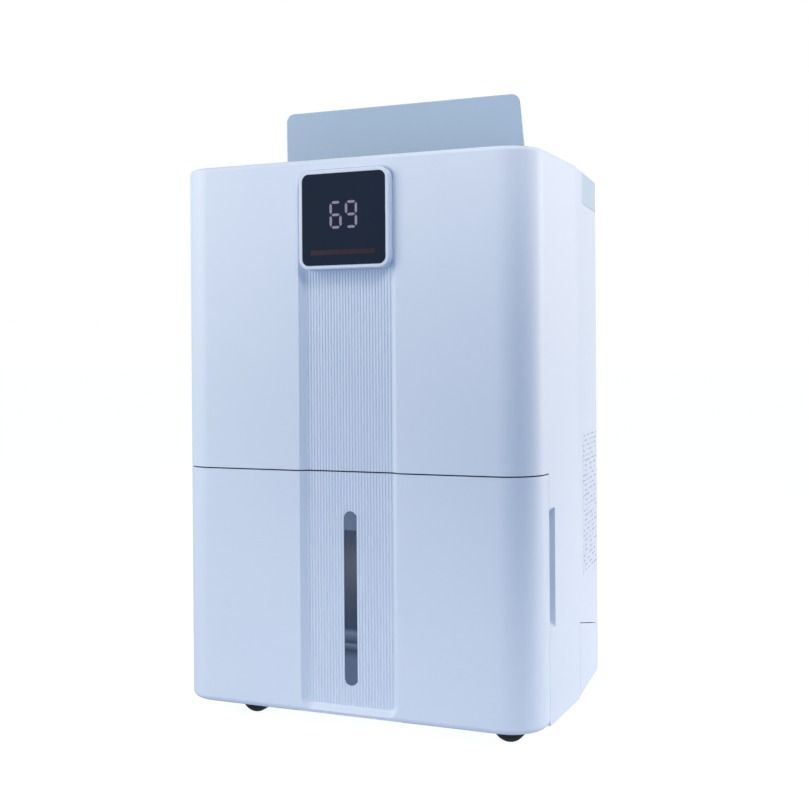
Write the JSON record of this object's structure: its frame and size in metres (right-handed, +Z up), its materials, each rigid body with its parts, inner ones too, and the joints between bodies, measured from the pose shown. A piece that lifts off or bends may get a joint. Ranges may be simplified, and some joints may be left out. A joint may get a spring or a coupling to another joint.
{
  "type": "dehumidifier",
  "caption": "Upright portable dehumidifier on casters with a pull-out water tank, front display, ribbed front strip and hinged top louver.",
  "frame": {"origin": "on the floor, at the middle of the bounding box's bottom face", "axes": "+Z up, -Y towards the front with the display, +X to the right for someone who faces the front"},
  "size_m": [0.365, 0.2874, 0.6071],
  "materials": {
    "white_shell": "satin moulded ABS, cool white",
    "grey_trim": "fine-textured blue-grey ABS",
    "key_plastic": "satin moulded ABS keys",
    "display_black": "smoked acrylic, nearly black",
    "digit_lit": "lit lavender-grey segments",
    "bar_red": "dark red light bar",
    "board_green": "fibreglass circuit board",
    "liner_grey": "moulded polypropylene",
    "fan_plastic": "moulded glass-filled plastic",
    "motor_steel": "zinc-plated drawn steel",
    "shaft_steel": "ground steel bar",
    "fin_aluminium": "thin pressed sheet",
    "copper": "drawn copper tube",
    "compressor_black": "black enamelled steel",
    "rubber_black": "moulded rubber",
    "capacitor_can": "drawn aluminium can",
    "spigot_plastic": "moulded polypropylene",
    "plate_white": "blank film label",
    "bucket_plastic": "translucent grey polypropylene",
    "window_smoke": "smoked polycarbonate lens",
    "float_foam": "foamed plastic float",
    "filter_plastic": "moulded frame",
    "filter_net": "woven nylon net",
    "caster_black": "black nylon",
    "wheel_rubber": "hard rubber tread"
  },
  "bodies": {
    "housing": {"front_shell": "white_shell", "top_deck": "grey_trim", "outlet_grille": "grey_trim", "rear_cover": "white_shell", "base_pan": "white_shell", "display_bezel": "white_shell", "display_glass": "display_black", "display_digits": "digit_lit", "display_bar": "bar_red", "display_board": "board_green", "key_board": "board_green", "bay_liner": "liner_grey", "drip_tray": "liner_grey", "fan_housing": "liner_grey", "fan_motor": "motor_steel", "evaporator_fins": "fin_aluminium", "evaporator_tubes": "copper", "condenser_fins": "fin_aluminium", "condenser_tubes": "copper", "refrigerant_pipes": "copper", "compressor": "compressor_black", "compressor_feet": "rubber_black", "accumulator": "compressor_black", "terminal_cover": "liner_grey", "run_capacitor": "capacitor_can", "control_box": "liner_grey", "control_board": "board_green", "cord_gland": "rubber_black", "drain_spigot": "spigot_plastic", "rating_plate": "plate_white", "rear_screws": "shaft_steel"},
    "louver": {"louver": "grey_trim"},
    "fan": {"fan_wheel": "fan_plastic", "fan_shaft": "shaft_steel"},
    "filter_cassette": {"intake_grille": "white_shell", "filter_frame": "filter_plastic", "filter_mesh": "filter_net"},
    "tank": {"tank_front": "white_shell", "tank_bucket": "bucket_plastic", "tank_lid": "bucket_plastic", "tank_window": "window_smoke"},
    "tank_float": {"tank_float": "float_foam"},
    "key_power": {"key_power": "key_plastic"},
    "key_mode": {"key_mode": "key_plastic"},
    "key_humidity": {"key_humidity": "key_plastic"},
    "key_fan": {"key_fan": "key_plastic"},
    "caster_front_left": {"caster_hood_front_left": "caster_black"},
    "wheels_front_left": {"caster_wheels_front_left": "wheel_rubber"},
    "caster_front_right": {"caster_hood_front_right": "caster_black"},
    "wheels_front_right": {"caster_wheels_front_right": "wheel_rubber"},
    "caster_rear_left": {"caster_hood_rear_left": "caster_black"},
    "wheels_rear_left": {"caster_wheels_rear_left": "wheel_rubber"},
    "caster_rear_right": {"caster_hood_rear_right": "caster_black"},
    "wheels_rear_right": {"caster_wheels_rear_right": "wheel_rubber"}
  },
  "joints": [
    {"name": "louver_hinge", "type": "hinge", "parent": "housing", "child": "louver", "pos_m": [0, 0.002, 0.531], "axis": [1, 0, 0], "range_deg": [0, 83]},
    {"name": "tank_slide", "type": "slide", "parent": "housing", "child": "tank", "axis": [0, -1, 0], "range_m": [0, 0.16]},
    {"name": "float_hinge", "type": "hinge", "parent": "tank", "child": "tank_float", "pos_m": [0.12, -0.025, 0.222], "axis": [1, 0, 0], "range_deg": [-25, 0]},
    {"name": "fan_spin", "type": "hinge", "parent": "housing", "child": "fan", "pos_m": [0, -0.041, 0.355], "axis": [0, 1, 0], "continuous": true},
    {"name": "filter_pull", "type": "slide", "parent": "housing", "child": "filter_cassette", "axis": [0, 1, 0], "range_m": [0, 0.06]},
    {"name": "key_power_press", "type": "slide", "parent": "housing", "child": "key_power", "axis": [0, 0, -1], "range_m": [0, 0.001], "stiffness_N_per_m": 800, "springref_m": -0.0002},
    {"name": "key_mode_press", "type": "slide", "parent": "housing", "child": "key_mode", "axis": [0, 0, -1], "range_m": [0, 0.001], "stiffness_N_per_m": 800, "springref_m": -0.0002},
    {"name": "key_humidity_press", "type": "slide", "parent": "housing", "child": "key_humidity", "axis": [0, 0, -1], "range_m": [0, 0.001], "stiffness_N_per_m": 800, "springref_m": -0.0002},
    {"name": "key_fan_press", "type": "slide", "parent": "housing", "child": "key_fan", "axis": [0, 0, -1], "range_m": [0, 0.001], "stiffness_N_per_m": 800, "springref_m": -0.0002},
    {"name": "swivel_front_left", "type": "hinge", "parent": "housing", "child": "caster_front_left", "pos_m": [-0.1315, -0.095, 0.038], "axis": [0, 0, 1], "continuous": true},
    {"name": "roll_front_left", "type": "hinge", "parent": "caster_front_left", "child": "wheels_front_left", "pos_m": [-0.1165, -0.095, 0.016], "axis": [0, 1, 0], "continuous": true},
    {"name": "swivel_front_right", "type": "hinge", "parent": "housing", "child": "caster_front_right", "pos_m": [0.1315, -0.095, 0.038], "axis": [0, 0, 1], "continuous": true},
    {"name": "roll_front_right", "type": "hinge", "parent": "caster_front_right", "child": "wheels_front_right", "pos_m": [0.1465, -0.095, 0.016], "axis": [0, 1, 0], "continuous": true},
    {"name": "swivel_rear_left", "type": "hinge", "parent": "housing", "child": "caster_rear_left", "pos_m": [-0.1315, 0.104, 0.038], "axis": [0, 0, 1], "continuous": true},
    {"name": "roll_rear_left", "type": "hinge", "parent": "caster_rear_left", "child": "wheels_rear_left", "pos_m": [-0.1165, 0.104, 0.016], "axis": [0, 1, 0], "continuous": true},
    {"name": "swivel_rear_right", "type": "hinge", "parent": "housing", "child": "caster_rear_right", "pos_m": [0.1315, 0.104, 0.038], "axis": [0, 0, 1], "continuous": true},
    {"name": "roll_rear_right", "type": "hinge", "parent": "caster_rear_right", "child": "wheels_rear_right", "pos_m": [0.1465, 0.104, 0.016], "axis": [0, 1, 0], "continuous": true}
  ]
}
